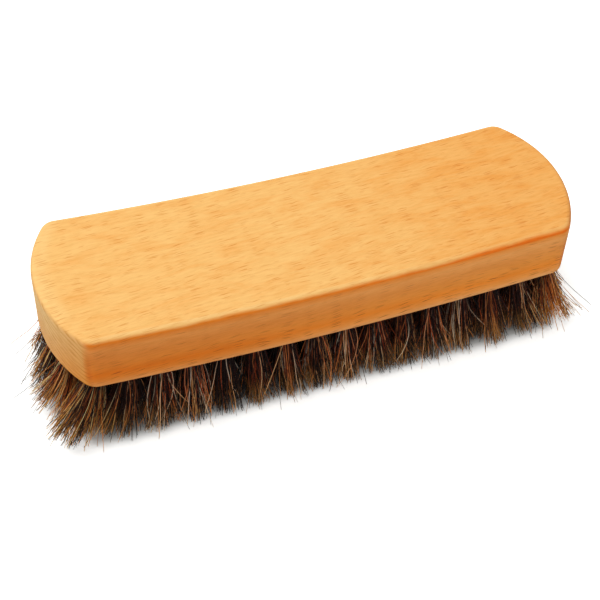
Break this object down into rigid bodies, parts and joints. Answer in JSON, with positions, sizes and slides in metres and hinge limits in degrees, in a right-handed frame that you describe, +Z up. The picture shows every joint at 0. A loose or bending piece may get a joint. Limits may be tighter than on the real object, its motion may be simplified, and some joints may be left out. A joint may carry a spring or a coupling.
{
  "type": "textile brush",
  "caption": "Gently arched hardwood hand brush with bowed ends, filled with fanned tufts of natural hair, for brushing clothes and other textiles.",
  "frame": {"origin": "under the middle of the block, on the plane that the bristle tips stand on", "axes": "+X along the block, -Y towards the long side that faces the viewer in the picture, +Z up out of the top of the block"},
  "size_m": [0.1801, 0.0606, 0.0445],
  "materials": {
    "beech": "varnished beech, satin, warm honey orange with short fine flecks along the grain",
    "horsehair": "mixed natural horse hair, from black-brown through chestnut to grey blond"
  },
  "bodies": {
    "root": {"block": "beech", "tuft_row_01": "horsehair", "tuft_row_02": "horsehair", "tuft_row_03": "horsehair", "tuft_row_04": "horsehair", "tuft_row_05": "horsehair", "tuft_row_06": "horsehair", "tuft_row_07": "horsehair", "tuft_row_08": "horsehair", "tuft_row_09": "horsehair", "tuft_row_10": "horsehair", "tuft_row_11": "horsehair", "tuft_row_12": "horsehair", "tuft_row_13": "horsehair", "tuft_row_14": "horsehair", "tuft_row_15": "horsehair", "tuft_row_16": "horsehair"}
  },
  "joints": []
}
